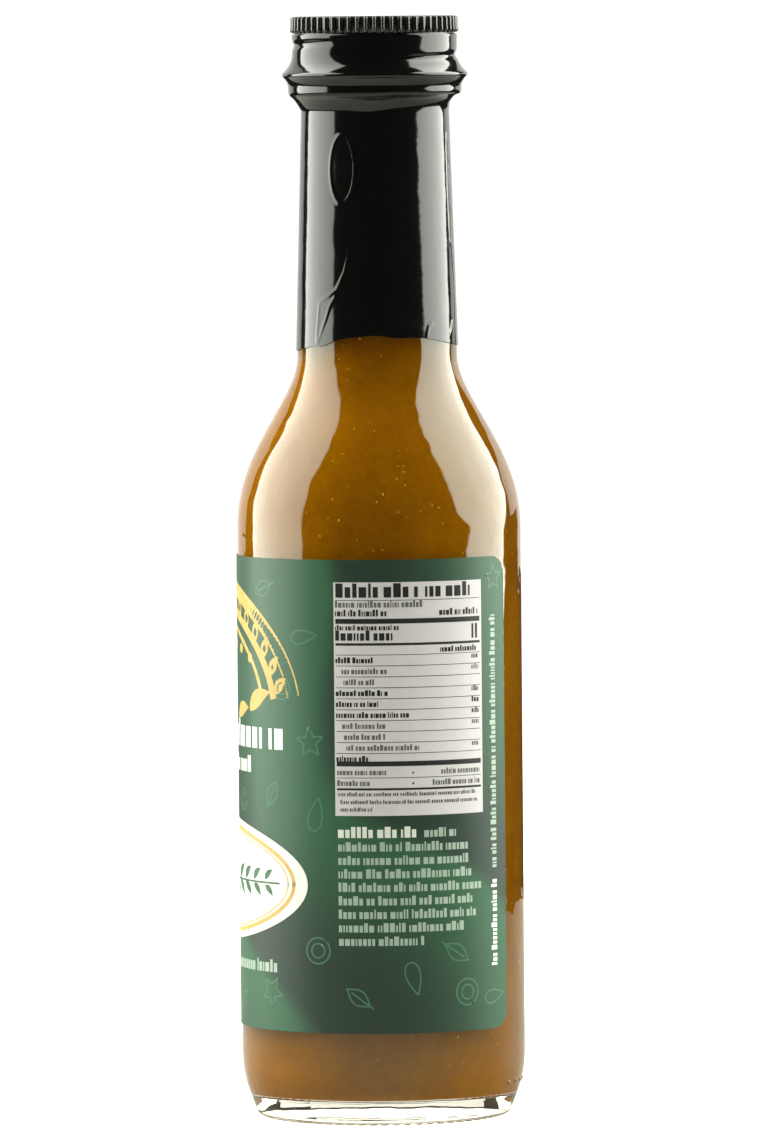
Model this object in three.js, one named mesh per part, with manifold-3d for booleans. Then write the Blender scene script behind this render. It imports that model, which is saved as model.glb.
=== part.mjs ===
// A five fluid ounce long-necked sauce bottle of clear glass, full of thick amber sauce.
// A knurled black screw cap closes it, a black heat-shrunk band covers the cap's skirt and
// the neck, and a green wrap-around paper label with rounded corners covers the body.
// Millimetres, +Z up, origin at the middle of the foot. The label's information side faces -Y.
import * as THREE from "three";
import { mergeVertices } from "three/addons/utils/BufferGeometryUtils.js";
import Module from "manifold-3d";

// Driving dimensions
const TOTAL_HEIGHT = 178.4;
const BODY_RADIUS = 23.0;
const WALL = 2.4;
const SEAT_GAP = 0.3; // left between pieces that sit in or on each other
const ROUND_SEGMENTS = 48;

// Foot and heel of the glass
const PUSH_UP = 2.6; // height of the hollow under the foot
const FOOT_INNER_RADIUS = 16.0;
const FOOT_OUTER_RADIUS = 18.8;
const HEEL_HEIGHT = 7.0;
const HEEL_PULL = { radius: 22.2, z: 0.6 }; // control point of the heel's curve

// Shoulder: one S-shaped curve from the body to the neck
const SHOULDER_BOTTOM = 96.0;
const SHOULDER_TOP = 123.6;
const SHOULDER_LOWER_PULL = 12.5;
const SHOULDER_UPPER_PULL = 7.5;
const SHOULDER_STEPS = 8;

// Neck, transfer ring and lip
const NECK_TAPER = 0.03; // radius lost for each millimetre of height
const NECK_FOOT_RADIUS = 12.93;
const NECK_TOP = 164.0;
const NECK_WALL = 2.6;
const RING_RADIUS = 13.4;
const RING_BOTTOM = 166.0;
const RING_TOP = 167.2;
const FINISH_RADIUS = 11.6;
const FINISH_FOOT = 168.0;
const LIP_TOP = 177.0;
const LIP_ROUND = 0.8;
const MOUTH_RADIUS = 7.9;

// Inside of the glass
const INNER_BOTTOM = 4.3;
const INNER_CENTRE_BOTTOM = 5.4;
const INNER_FLAT_RADIUS = 16.5;
const INNER_HEEL_HEIGHT = 9.0;

// Sauce
const FILL_LEVEL = 150.0;

// Cap
const CAP_TOP_THICKNESS = 1.1;
const CAP_EDGE_ROUND = 0.6;
const KNURL_COUNT = 60;
const KNURL_DEPTH = 0.45;
const KNURL_RADIUS = 13.5;
const KNURL_BOTTOM = TOTAL_HEIGHT - 2.4;
const SKIRT_RADIUS = 12.75;
const SKIRT_INNER_RADIUS = 12.1;
const FLARE_TOP = 171.6;
const CURL_RADIUS = 14.4;
const CURL_TOP = 169.3;
const CURL_BOTTOM = 168.5;

// Shrink band
const BAND_THICKNESS = 0.2;
const BAND_CLEARANCE = 0.08;
const BAND_TOP = 175.5;
const BAND_SKIRT_RADIUS = 13.35;
const BAND_CURL_RADIUS = 14.95;
const BAND_RING_RADIUS = 13.75;
const BAND_EDGE = { mean: 125.6, front: 0.45, side: 0.35, wave: 0.95 };

// Label
const LABEL_WIDTH = 127.0;
const LABEL_HEIGHT = 76.2;
const LABEL_BOTTOM = 15.2;
const LABEL_THICKNESS = 0.15;
const LABEL_CLEARANCE = 0.05;
const LABEL_CORNER_RADIUS = 3.2;
const LABEL_RIGHT_EDGE = THREE.MathUtils.degToRad(59.2); // turned from -Y towards +X

const wasm = await Module();
wasm.setup();

const materials = {
  glass: new THREE.MeshStandardMaterial({
    color: 0xf3f0e4,
    roughness: 0.04,
    metalness: 0,
    transparent: true,
    opacity: 0.35,
  }),
  sauce: new THREE.MeshStandardMaterial({ color: 0x9c6412, roughness: 0.45, metalness: 0 }),
  cap: new THREE.MeshStandardMaterial({ color: 0x17171a, roughness: 0.3, metalness: 0.1 }),
  band: new THREE.MeshStandardMaterial({ color: 0x0f0f10, roughness: 0.12, metalness: 0 }),
  label: new THREE.MeshStandardMaterial({ color: 0x355e46, roughness: 0.5, metalness: 0 }),
};

// Revolves a profile of radius and height about +Z. Angle zero points to -Y, and angles grow towards +X.
function revolve(profile, segments = ROUND_SEGMENTS) {
  return new THREE.LatheGeometry(profile, segments).rotateX(Math.PI / 2);
}

// Moves each vertex to the radius and height that a change gives for its angle, radius and height.
function reshape(geometry, change) {
  const position = geometry.getAttribute("position");
  for (let i = 0; i < position.count; i++) {
    const x = position.getX(i);
    const y = position.getY(i);
    const angle = Math.atan2(x, -y);
    const [radius, z] = change(angle, Math.hypot(x, y), position.getZ(i));
    position.setXYZ(i, radius * Math.sin(angle), -radius * Math.cos(angle), z);
  }
  return geometry;
}

function solidFrom(geometry) {
  const bare = geometry.clone();
  bare.deleteAttribute("normal");
  bare.deleteAttribute("uv");
  const merged = mergeVertices(bare, 1e-4);
  return new wasm.Manifold(
    new wasm.Mesh({
      numProp: 3,
      vertProperties: new Float32Array(merged.getAttribute("position").array),
      triVerts: new Uint32Array(merged.index.array),
    }),
  );
}

function geometryFrom(solid) {
  const { vertProperties, triVerts } = solid.getMesh();
  const geometry = new THREE.BufferGeometry();
  geometry.setAttribute("position", new THREE.BufferAttribute(vertProperties, 3));
  geometry.setIndex(new THREE.BufferAttribute(triVerts, 1));
  geometry.computeVertexNormals();
  return geometry;
}

function named(name, geometry, material) {
  const mesh = new THREE.Mesh(geometry, material);
  mesh.name = name;
  return mesh;
}

// Outside radius of the glass neck at a height
function neckRadius(z) {
  return NECK_FOOT_RADIUS - NECK_TAPER * (z - SHOULDER_TOP);
}

// Points along the S-curve of the shoulder, from the body up to the neck, set in at each end.
function shoulder(inset, topInset) {
  const top = neckRadius(SHOULDER_TOP) - topInset;
  return new THREE.CubicBezierCurve(
    new THREE.Vector2(BODY_RADIUS - inset, SHOULDER_BOTTOM),
    new THREE.Vector2(BODY_RADIUS - inset, SHOULDER_BOTTOM + SHOULDER_LOWER_PULL),
    new THREE.Vector2(top + NECK_TAPER * SHOULDER_UPPER_PULL, SHOULDER_TOP - SHOULDER_UPPER_PULL),
    new THREE.Vector2(top, SHOULDER_TOP),
  ).getPoints(SHOULDER_STEPS);
}

// The glass's inner surface from the axis at the bottom up to a height in the neck, set in by a gap.
function innerProfile(gap, top) {
  const bodyInset = WALL + gap;
  const neckInset = NECK_WALL + gap;
  const floor = new THREE.Path()
    .moveTo(0, INNER_CENTRE_BOTTOM + gap)
    .quadraticCurveTo(
      INNER_FLAT_RADIUS / 2,
      INNER_CENTRE_BOTTOM + gap,
      INNER_FLAT_RADIUS,
      INNER_BOTTOM + gap,
    )
    .quadraticCurveTo(
      BODY_RADIUS - bodyInset,
      INNER_BOTTOM + gap,
      BODY_RADIUS - bodyInset,
      INNER_HEEL_HEIGHT,
    )
    .getPoints(3);
  const end = new THREE.Vector2(neckRadius(top) - neckInset, top);
  return [...floor, ...shoulder(bodyInset, neckInset), end];
}

// Clear glass bottle: foot with a push-up, heel, body, shoulder, neck, transfer ring and open mouth
function glassBottle() {
  const outside = new THREE.Path()
    .moveTo(0, PUSH_UP)
    .quadraticCurveTo(FOOT_INNER_RADIUS * 0.7, PUSH_UP, FOOT_INNER_RADIUS, 0)
    .lineTo(FOOT_OUTER_RADIUS, 0)
    .quadraticCurveTo(HEEL_PULL.radius, HEEL_PULL.z, BODY_RADIUS, HEEL_HEIGHT)
    .getPoints(4);
  const finish = new THREE.Path()
    .moveTo(neckRadius(NECK_TOP), NECK_TOP)
    .lineTo(RING_RADIUS, RING_BOTTOM)
    .lineTo(RING_RADIUS, RING_TOP)
    .lineTo(FINISH_RADIUS, FINISH_FOOT)
    .lineTo(FINISH_RADIUS, LIP_TOP - LIP_ROUND)
    .quadraticCurveTo(FINISH_RADIUS, LIP_TOP, FINISH_RADIUS - LIP_ROUND, LIP_TOP)
    .lineTo(MOUTH_RADIUS, LIP_TOP)
    .getPoints(2);
  const inside = innerProfile(0, NECK_TOP).reverse();
  return named(
    "glass_bottle",
    revolve([...outside, ...shoulder(0, 0), ...finish, ...inside]),
    materials.glass,
  );
}

// Thick sauce that fills the glass up into the neck
function sauce() {
  const profile = [...innerProfile(SEAT_GAP, FILL_LEVEL), new THREE.Vector2(0, FILL_LEVEL)];
  return named("sauce", revolve(profile), materials.sauce);
}

// Screw cap: a flat top with a knurled rim, a plain skirt and a curl that flares out at the bottom
function cap() {
  const valleyRadius = KNURL_RADIUS - KNURL_DEPTH;
  const underTop = TOTAL_HEIGHT - CAP_TOP_THICKNESS;
  const profile = [
    [0, underTop],
    [SKIRT_INNER_RADIUS, underTop],
    [SKIRT_INNER_RADIUS, CURL_BOTTOM],
    [CURL_RADIUS - KNURL_DEPTH / 2, CURL_BOTTOM],
    [CURL_RADIUS, CURL_TOP],
    [SKIRT_RADIUS, FLARE_TOP],
    [SKIRT_RADIUS, KNURL_BOTTOM - CAP_EDGE_ROUND],
    [valleyRadius, KNURL_BOTTOM],
    [valleyRadius, TOTAL_HEIGHT - CAP_EDGE_ROUND],
    [valleyRadius - CAP_EDGE_ROUND, TOTAL_HEIGHT],
    [0, TOTAL_HEIGHT],
  ].map(([radius, z]) => new THREE.Vector2(radius, z));
  const isRib = (angle) => Math.round((angle * KNURL_COUNT) / Math.PI) % 2 === 0;
  const ribbed = reshape(revolve(profile, KNURL_COUNT * 2), (angle, radius, z) => {
    const onRim = z >= KNURL_BOTTOM - 1e-3 && Math.abs(radius - valleyRadius) < 1e-3;
    return [onRim && isRib(angle) ? KNURL_RADIUS : radius, z];
  });
  return named("cap", ribbed, materials.cap);
}

// Height of the band's uneven lower edge at an angle
function bandEdge(angle) {
  const { mean, front, side, wave } = BAND_EDGE;
  return mean + front * Math.cos(angle) + side * Math.sin(angle) + wave * Math.cos(2 * angle);
}

// Heat-shrunk band: a thin sleeve drawn in over the cap's skirt and curl, the transfer ring and the neck
function shrinkBand() {
  const overNeck = BAND_CLEARANCE + BAND_THICKNESS;
  const outside = [
    [neckRadius(BAND_EDGE.mean) + overNeck, BAND_EDGE.mean],
    [neckRadius(NECK_TOP) + overNeck, NECK_TOP],
    [BAND_RING_RADIUS, RING_BOTTOM],
    [BAND_CURL_RADIUS - BAND_THICKNESS, CURL_BOTTOM],
    [BAND_CURL_RADIUS, CURL_TOP],
    [(BAND_SKIRT_RADIUS + BAND_CURL_RADIUS) / 2, (FLARE_TOP + CURL_TOP) / 2],
    [BAND_SKIRT_RADIUS, FLARE_TOP + 0.6],
    [BAND_SKIRT_RADIUS, BAND_TOP],
  ];
  const inside = outside.map(([radius, z]) => [radius - BAND_THICKNESS, z]).reverse();
  const loop = [...outside, ...inside, outside[0]].map(([radius, z]) => new THREE.Vector2(radius, z));
  const sleeve = reshape(revolve(loop), (angle, radius, z) => [
    radius,
    z < BAND_EDGE.mean + 1e-3 ? bandEdge(angle) : z,
  ]);
  return named("shrink_band", sleeve, materials.band);
}

// Paper label: a ring round the body, parted at the back right, with rounded corners at the parting
function label() {
  const inner = BODY_RADIUS + LABEL_CLEARANCE;
  const outer = inner + LABEL_THICKNESS;
  const top = LABEL_BOTTOM + LABEL_HEIGHT;
  const ring = [
    [inner, LABEL_BOTTOM],
    [outer, LABEL_BOTTOM],
    [outer, top],
    [inner, top],
    [inner, LABEL_BOTTOM],
  ].map(([radius, z]) => new THREE.Vector2(radius, z));

  const gapAngle = 2 * Math.PI - LABEL_WIDTH / outer;
  const half = outer * Math.sin(gapAngle / 2);
  const round = LABEL_CORNER_RADIUS;
  const past = 1.0; // how far the cutter runs past the label's edges
  const parting = new THREE.Shape()
    .moveTo(-half - round, top + past)
    .lineTo(-half - round, top)
    .absarc(-half - round, top - round, round, Math.PI / 2, 0, true)
    .absarc(-half - round, LABEL_BOTTOM + round, round, 0, -Math.PI / 2, true)
    .lineTo(-half - round, LABEL_BOTTOM - past)
    .lineTo(half + round, LABEL_BOTTOM - past)
    .absarc(half + round, LABEL_BOTTOM + round, round, -Math.PI / 2, -Math.PI, true)
    .absarc(half + round, top - round, round, Math.PI, Math.PI / 2, true)
    .lineTo(half + round, top + past);
  const cutter = new THREE.ExtrudeGeometry(parting, {
    depth: 2 * BODY_RADIUS,
    bevelEnabled: false,
    curveSegments: 6,
  })
    .rotateX(Math.PI / 2)
    .rotateZ(LABEL_RIGHT_EDGE + gapAngle / 2);
  const parted = solidFrom(revolve(ring)).subtract(solidFrom(cutter));
  return named("label", geometryFrom(parted), materials.label);
}

const bottle = new THREE.Group();
bottle.add(glassBottle(), sauce(), cap(), shrinkBand(), label());

export default bottle;
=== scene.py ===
import math
import random

import bmesh
import bpy
import numpy as np
from mathutils import Matrix, Vector


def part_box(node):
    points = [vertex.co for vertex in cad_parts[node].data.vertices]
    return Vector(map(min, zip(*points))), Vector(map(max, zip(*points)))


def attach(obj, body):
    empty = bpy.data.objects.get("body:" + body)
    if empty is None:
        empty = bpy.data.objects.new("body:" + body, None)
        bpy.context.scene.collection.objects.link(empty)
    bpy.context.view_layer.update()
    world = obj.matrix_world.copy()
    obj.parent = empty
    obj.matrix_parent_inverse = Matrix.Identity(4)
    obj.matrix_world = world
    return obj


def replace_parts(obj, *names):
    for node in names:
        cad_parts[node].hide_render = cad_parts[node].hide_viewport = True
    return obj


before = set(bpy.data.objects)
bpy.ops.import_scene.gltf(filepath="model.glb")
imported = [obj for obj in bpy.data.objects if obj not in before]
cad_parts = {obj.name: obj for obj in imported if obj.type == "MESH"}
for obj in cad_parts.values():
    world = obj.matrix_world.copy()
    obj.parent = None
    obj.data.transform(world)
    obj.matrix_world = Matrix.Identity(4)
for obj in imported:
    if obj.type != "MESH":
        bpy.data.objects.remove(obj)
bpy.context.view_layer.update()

# Glass bottle: a machine-blown long-necked bottle of clear soda-lime glass.
# It stands on a knurled bearing ring round a push-up, and its heel carries a row of raised mould dots.
# The sauce wets the inside of the wall, so only the thick foot is seen to be clear.
MM = 0.001
glass_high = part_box("glass_bottle")[1]
BODY_RADIUS = glass_high.x / MM
LIP_TOP = glass_high.z / MM
WALL = 2.4
CAVITY_CENTRE = 5.4
CAVITY_EDGE = 4.4
CAVITY_FLAT = 17.6
CAVITY_WALL_FOOT = 9.0
PUSH_UP = 2.6
FOOT_INNER = 16.0
FOOT_OUTER = 18.8
HEEL_RADIUS = 20.75
HEEL_TOP = 11.0
SHOULDER_BOTTOM = 96.0
SHOULDER_TOP = 123.6
SHOULDER_LOWER_PULL = 12.5
SHOULDER_UPPER_PULL = 7.5
NECK_FOOT_RADIUS = 12.93
NECK_TAPER = 0.03
NECK_TOP = 164.0
NECK_WALL = 2.6
RING_RADIUS = 13.4
RING_BOTTOM = 166.0
RING_TOP = 167.2
FINISH_RADIUS = 11.6
FINISH_FOOT = 168.0
LIP_ROUND = 0.8
MOUTH_RADIUS = 7.9
KNURL_COUNT = 64
KNURL_DEPTH = 0.4
KNURL_SLANT = 900.0
COLUMNS_PER_KNURL = 8
GLASS_TINT = "#FAF6EA"
GLASS_SHEEN = "#F0FFF8"
GLASS_INDEX = 1.6


def linear(hex_colour):
    """The linear colour of an sRGB hex value, with full alpha."""
    channels = [int(hex_colour[i:i + 2], 16) / 255 for i in (1, 3, 5)]
    return [c / 12.92 if c <= 0.04045 else ((c + 0.055) / 1.055) ** 2.4 for c in channels] + [1.0]


def add(tree, kind, inputs=(), **settings):
    """Adds a node, sets its properties, and links or sets its inputs by name or number."""
    node = tree.nodes.new(kind)
    for name, value in settings.items():
        setattr(node, name, value)
    for socket, value in dict(inputs).items():
        if isinstance(value, bpy.types.NodeSocket):
            tree.links.new(value, node.inputs[socket])
        else:
            node.inputs[socket].default_value = value
    return node


def reckon(tree, operation, *values):
    """Adds a maths node on numbers or sockets, and returns its result."""
    return add(tree, "ShaderNodeMath", dict(enumerate(values)), operation=operation).outputs[0]


def mottle(tree, place, span, detail=2.0, roughness=0.5):
    """Noise in lumps of a span in millimetres, as a value from 0 to 1."""
    return add(tree, "ShaderNodeTexNoise", {
        "Vector": place, "Scale": 1 / (span * MM), "Detail": detail, "Roughness": roughness}).outputs["Fac"]


def hand_out(tree, shape, material):
    """Ends a geometry tree: makes its shape real, and gives it a material."""
    whole = add(tree, "GeometryNodeRealizeInstances", {0: shape})
    painted = add(tree, "GeometryNodeSetMaterial", {"Geometry": whole.outputs[0], "Material": material})
    add(tree, "NodeGroupOutput", {0: painted.outputs[0]})


def new_material(name):
    """An empty material: returns it, its tree, its coordinates and its output node."""
    material = bpy.data.materials.new(name)
    material.use_nodes = True
    tree = material.node_tree
    tree.nodes.clear()
    return material, tree, add(tree, "ShaderNodeTexCoord"), add(tree, "ShaderNodeOutputMaterial")


def geometry_tree(name, sizes):
    """A geometry tree with a mesh input and named sizes: returns it and its input sockets."""
    tree = bpy.data.node_groups.new(name, "GeometryNodeTree")
    tree.interface.new_socket("Geometry", in_out="INPUT", socket_type="NodeSocketGeometry")
    for size, kind in sizes.items():
        tree.interface.new_socket(size, in_out="INPUT", socket_type=kind)
    tree.interface.new_socket("Geometry", in_out="OUTPUT", socket_type="NodeSocketGeometry")
    return tree, tree.nodes.new("NodeGroupInput").outputs


def grow(piece, tree, sizes):
    """Runs a geometry tree on a piece with these sizes, and keeps the result as its plain mesh."""
    modifier = piece.modifiers.new(tree.name, "NODES")
    modifier.node_group = tree
    for item in tree.interface.items_tree:
        if item.in_out == "INPUT" and item.name in sizes:
            modifier[item.identifier] = sizes[item.name]
    graph = bpy.context.evaluated_depsgraph_get()
    mesh = bpy.data.meshes.new_from_object(piece.evaluated_get(graph), depsgraph=graph)
    piece.modifiers.remove(modifier)
    piece.data = mesh
    return piece


def new_piece(name, mesh, material=None):
    """Puts a mesh in the scene as a smooth-shaded piece."""
    piece = bpy.data.objects.new(name, mesh)
    bpy.context.scene.collection.objects.link(piece)
    mesh.shade_smooth()
    mesh.set_sharp_from_angle(angle=math.radians(38))
    if material:
        mesh.materials.append(material)
    return piece


def bezier(*points, steps=12):
    """Points in millimetres along a Bezier curve, without the last one."""
    t = np.linspace(0, 1, steps, endpoint=False)[:, None]
    n = len(points) - 1
    return sum(math.comb(n, k) * t**k * (1 - t) ** (n - k) * np.array(p, float) for k, p in enumerate(points))


def loft(name, rings, closed=False):
    """A mesh through rings of points in millimetres. Rings that shrink to a point become a pole."""
    rows, columns = rings.shape[:2]
    row = np.arange(rows if closed else rows - 1)[:, None]
    column = np.arange(columns)[None, :]
    here, above = row * columns, (row + 1) % rows * columns
    right = (column + 1) % columns
    faces = np.stack([here + column, here + right, above + right, above + column], axis=-1)
    mesh = bpy.data.meshes.new(name)
    mesh.from_pydata((rings.reshape(-1, 3) * MM).tolist(), [], faces.reshape(-1, 4).tolist())
    merged = bmesh.new()
    merged.from_mesh(mesh)
    bmesh.ops.remove_doubles(merged, verts=merged.verts, dist=1e-7)
    merged.to_mesh(mesh)
    merged.free()
    return mesh


def around(columns):
    """Angles from -Y towards +X, for that many columns."""
    return np.linspace(0, 2 * math.pi, columns, endpoint=False)


def ring_points(radius, height, angle):
    """Points at radii and heights in millimetres and at angles from -Y towards +X."""
    radius, height, angle = np.broadcast_arrays(radius, height, angle)
    return np.stack([radius * np.sin(angle), -radius * np.cos(angle), height], axis=-1)


def revolve(name, profile, columns):
    """A mesh turned about +Z from a profile of radii and heights in millimetres."""
    profile = np.array(profile, float)
    return loft(name, ring_points(profile[:, :1], profile[:, 1:], around(columns)[None, :]))


def neck_radius(height):
    """The neck's outside radius at a height."""
    return NECK_FOOT_RADIUS - NECK_TAPER * (height - SHOULDER_TOP)


def shoulder(inset, neck_inset):
    """The S-curve from the body to the neck, set in from the glass's outside."""
    foot, top = BODY_RADIUS - inset, NECK_FOOT_RADIUS - neck_inset
    return bezier((foot, SHOULDER_BOTTOM), (foot, SHOULDER_BOTTOM + SHOULDER_LOWER_PULL),
                  (top + SHOULDER_UPPER_PULL * NECK_TAPER, SHOULDER_TOP - SHOULDER_UPPER_PULL),
                  (top, SHOULDER_TOP), steps=28)


def inside(into_wall, top):
    """The cavity's profile from the middle of its floor up into the neck, moved into the glass."""
    wall = BODY_RADIUS - WALL + into_wall
    neck = neck_radius(top) - NECK_WALL + into_wall
    centre, edge = CAVITY_CENTRE - into_wall, CAVITY_EDGE - into_wall
    return [*bezier((0, centre), (8.2, centre), (CAVITY_FLAT, edge), steps=8),
            *bezier((CAVITY_FLAT, edge), (wall - 0.6, edge), (wall, CAVITY_WALL_FOOT), steps=14),
            *shoulder(WALL - into_wall, NECK_WALL - into_wall), (neck, top)]


outside = [*bezier((0, PUSH_UP), (0.7 * FOOT_INNER, PUSH_UP), (FOOT_INNER, 0.15), steps=10),
           *bezier((FOOT_INNER, 0.15), (FOOT_INNER + 0.3, 0), (FOOT_INNER + 0.7, 0), steps=3),
           *bezier((FOOT_INNER + 0.7, 0), (FOOT_OUTER, 0), steps=7),
           *bezier((FOOT_OUTER, 0), (HEEL_RADIUS - 0.3, 0), (HEEL_RADIUS, 1.0), steps=10),
           *bezier((HEEL_RADIUS, 1.0), (HEEL_RADIUS + 1.15, 4.2), (BODY_RADIUS, 6.0), (BODY_RADIUS, HEEL_TOP),
                   steps=18),
           (BODY_RADIUS, HEEL_TOP), *shoulder(0, 0), (neck_radius(NECK_TOP), NECK_TOP),
           (RING_RADIUS, RING_BOTTOM), (RING_RADIUS, RING_TOP), (FINISH_RADIUS, FINISH_FOOT),
           *bezier((FINISH_RADIUS, LIP_TOP - LIP_ROUND), (FINISH_RADIUS, LIP_TOP),
                   (FINISH_RADIUS - LIP_ROUND, LIP_TOP), steps=4),
           (MOUTH_RADIUS, LIP_TOP)]

# Soda-lime glass, blown and fire polished: clear, with a slow waviness that bends the edges of reflections.
# Its index is set above the usual 1.52 to brighten the light stripes, and its sheen leans green against pink.
glass, tree, coords, output = new_material("soda_lime_glass")
waves = mottle(tree, coords.outputs["Object"], 8)
bump = add(tree, "ShaderNodeBump", {"Height": waves, "Strength": 0.18, "Distance": 1.0 * MM})
body = add(tree, "ShaderNodeBsdfPrincipled", {
    "Base Color": linear(GLASS_TINT), "Roughness": 0.0, "IOR": GLASS_INDEX, "Transmission Weight": 1.0,
    "Specular Tint": linear(GLASS_SHEEN), "Normal": bump.outputs[0]})
light_through = add(tree, "ShaderNodeBsdfTransparent", {"Color": linear(GLASS_TINT)})
path = add(tree, "ShaderNodeLightPath")
mix = add(tree, "ShaderNodeMixShader", {
    0: path.outputs["Is Shadow Ray"], 1: body.outputs[0], 2: light_through.outputs[0]})
tree.links.new(mix.outputs[0], output.inputs["Surface"])

# Slanted crescents pressed into the bearing ring lift the glass off the table between them.
tree, size = geometry_tree("foot_knurls", {
    "Count": "NodeSocketInt", "Depth": "NodeSocketFloat", "Inner": "NodeSocketFloat",
    "Outer": "NodeSocketFloat", "Slant": "NodeSocketFloat"})
place = add(tree, "ShaderNodeSeparateXYZ", {0: add(tree, "GeometryNodeInputPosition").outputs[0]})
minus_y = reckon(tree, "MULTIPLY", place.outputs["Y"], -1.0)
angle = reckon(tree, "ARCTAN2", place.outputs["X"], minus_y)
flat = add(tree, "ShaderNodeCombineXYZ", {"X": place.outputs["X"], "Y": place.outputs["Y"]})
radius = add(tree, "ShaderNodeVectorMath", {0: flat.outputs[0]}, operation="LENGTH")
lean = reckon(tree, "MULTIPLY", radius.outputs["Value"], size["Slant"])
turns = reckon(tree, "MULTIPLY_ADD", angle, size["Count"], lean)
wave = reckon(tree, "SINE", turns)
bump = add(tree, "ShaderNodeMapRange", {
    "Value": wave, "From Min": -0.4, "From Max": 0.6}, interpolation_type="SMOOTHSTEP")
from_inner = reckon(tree, "SUBTRACT", radius.outputs["Value"], size["Inner"])
from_outer = reckon(tree, "SUBTRACT", size["Outer"], radius.outputs["Value"])
nearest = reckon(tree, "MINIMUM", from_inner, from_outer)
band = add(tree, "ShaderNodeMapRange", {
    "Value": nearest, "From Min": 0.0, "From Max": 0.8 * MM}, interpolation_type="SMOOTHSTEP")
low = reckon(tree, "LESS_THAN", place.outputs["Z"], 1.2 * MM)
lifted = reckon(tree, "MULTIPLY", bump.outputs[0], band.outputs[0])
lifted = reckon(tree, "MULTIPLY", lifted, low)
lifted = reckon(tree, "MULTIPLY", lifted, size["Depth"])
offset = add(tree, "ShaderNodeCombineXYZ", {"Z": lifted})
moved = add(tree, "GeometryNodeSetPosition", {"Geometry": size["Geometry"], "Offset": offset.outputs[0]})
hand_out(tree, moved.outputs[0], glass)

bottle = new_piece("bottle_glass", revolve(
    "bottle_glass", outside + inside(0, NECK_TOP)[::-1], KNURL_COUNT * COLUMNS_PER_KNURL))
grow(bottle, tree, {"Count": KNURL_COUNT, "Depth": KNURL_DEPTH * MM, "Inner": (FOOT_INNER - 0.2) * MM,
                    "Outer": (FOOT_OUTER + 1.6) * MM, "Slant": KNURL_SLANT})
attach(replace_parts(bottle, "glass_bottle"), "root")

# A short row of raised dots on the heel, left by the mould, tells the bottles of one mould from another.
DOT_COUNT = 6
DOT_RADIUS = 0.42
DOT_HEIGHT = 5.9
DOT_INSET = 0.75
DOT_START = 64
DOT_STEP = 7.5
tree, size = geometry_tree("mould_dots", {
    "Count": "NodeSocketInt", "Start": "NodeSocketFloat", "Step": "NodeSocketFloat",
    "Round": "NodeSocketFloat", "Height": "NodeSocketFloat", "Dot": "NodeSocketFloat",
    "Material": "NodeSocketMaterial"})
number = add(tree, "GeometryNodeInputIndex")
angle = reckon(tree, "MULTIPLY_ADD", number.outputs[0], size["Step"], size["Start"])
sine = reckon(tree, "SINE", angle)
cosine = reckon(tree, "COSINE", angle)
x = reckon(tree, "MULTIPLY", sine, size["Round"])
y = reckon(tree, "MULTIPLY", cosine, size["Round"])
minus_y = reckon(tree, "MULTIPLY", y, -1.0)
place = add(tree, "ShaderNodeCombineXYZ", {"X": x, "Y": minus_y, "Z": size["Height"]})
spots = add(tree, "GeometryNodePoints", {"Count": size["Count"], "Position": place.outputs[0]})
dot = add(tree, "GeometryNodeMeshIcoSphere", {"Radius": size["Dot"], "Subdivisions": 3})
dots = add(tree, "GeometryNodeInstanceOnPoints", {
    "Points": spots.outputs[0], "Instance": dot.outputs["Mesh"]})
hand_out(tree, dots.outputs[0], size["Material"])
dots = grow(new_piece("mould_dots", bpy.data.meshes.new("mould_dots")), tree, {
    "Count": DOT_COUNT, "Start": math.radians(DOT_START), "Step": math.radians(DOT_STEP),
    "Round": (BODY_RADIUS - DOT_INSET) * MM, "Height": DOT_HEIGHT * MM, "Dot": DOT_RADIUS * MM,
    "Material": glass})
dots.data.shade_smooth()
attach(dots, "root")

# Hot sauce: a thick, cloudy amber puree of peppers and fruit, hot filled up into the neck.
# It reaches just into the wall, as the real sauce wets the glass, and carries flecks of pulp,
# seed and charred skin that lie against the inside of the glass.
FILL_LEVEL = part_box("sauce")[1].z / MM
INTO_WALL = 0.12
SAUCE_DEEP = "#7A4D00"
SAUCE_LIGHT = "#906000"
SCATTER = 2.0

# Pureed sauce behind glass: soft and cloudy, with clouds a centimetre across and a fine pulpy grain.
# Glass mirrors at a flat glance where the sauce wets it, which is why the thick foot looks clear.
puree, tree, coords, output = new_material("pepper_puree")
clouds = mottle(tree, coords.outputs["Object"], 12, detail=3.0, roughness=0.55)
pulp = mottle(tree, coords.outputs["Object"], 1.1, roughness=0.6)
blend = add(tree, "ShaderNodeMix", {0: 0.35, 2: clouds, 3: pulp})
tone = add(tree, "ShaderNodeMapRange", {"Value": blend.outputs[0], "From Min": 0.32, "From Max": 0.68})
amber = add(tree, "ShaderNodeMix", {
    0: tone.outputs[0], 6: linear(SAUCE_DEEP), 7: linear(SAUCE_LIGHT)}, data_type="RGBA")
glance = add(tree, "ShaderNodeLayerWeight", {"Blend": 0.5})
mirror = add(tree, "ShaderNodeMapRange", {
    "Value": glance.outputs["Facing"], "From Min": 0.50, "From Max": 0.58}, interpolation_type="SMOOTHSTEP")
colour = add(tree, "ShaderNodeMix", {
    0: mirror.outputs[0], 6: amber.outputs[2], 7: linear("#FFFFFF")}, data_type="RGBA")
polish = add(tree, "ShaderNodeMapRange", {"Value": mirror.outputs[0], "To Min": 0.7, "To Max": 0.0})
body = add(tree, "ShaderNodeBsdfPrincipled", {
    "Base Color": colour.outputs[2], "Metallic": mirror.outputs[0], "Roughness": polish.outputs[0],
    "Specular IOR Level": 0.0, "Subsurface Weight": 1.0, "Subsurface Scale": SCATTER * MM,
    "Subsurface Radius": (1.0, 0.5, 0.1)})
tree.links.new(body.outputs[0], output.inputs["Surface"])

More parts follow.
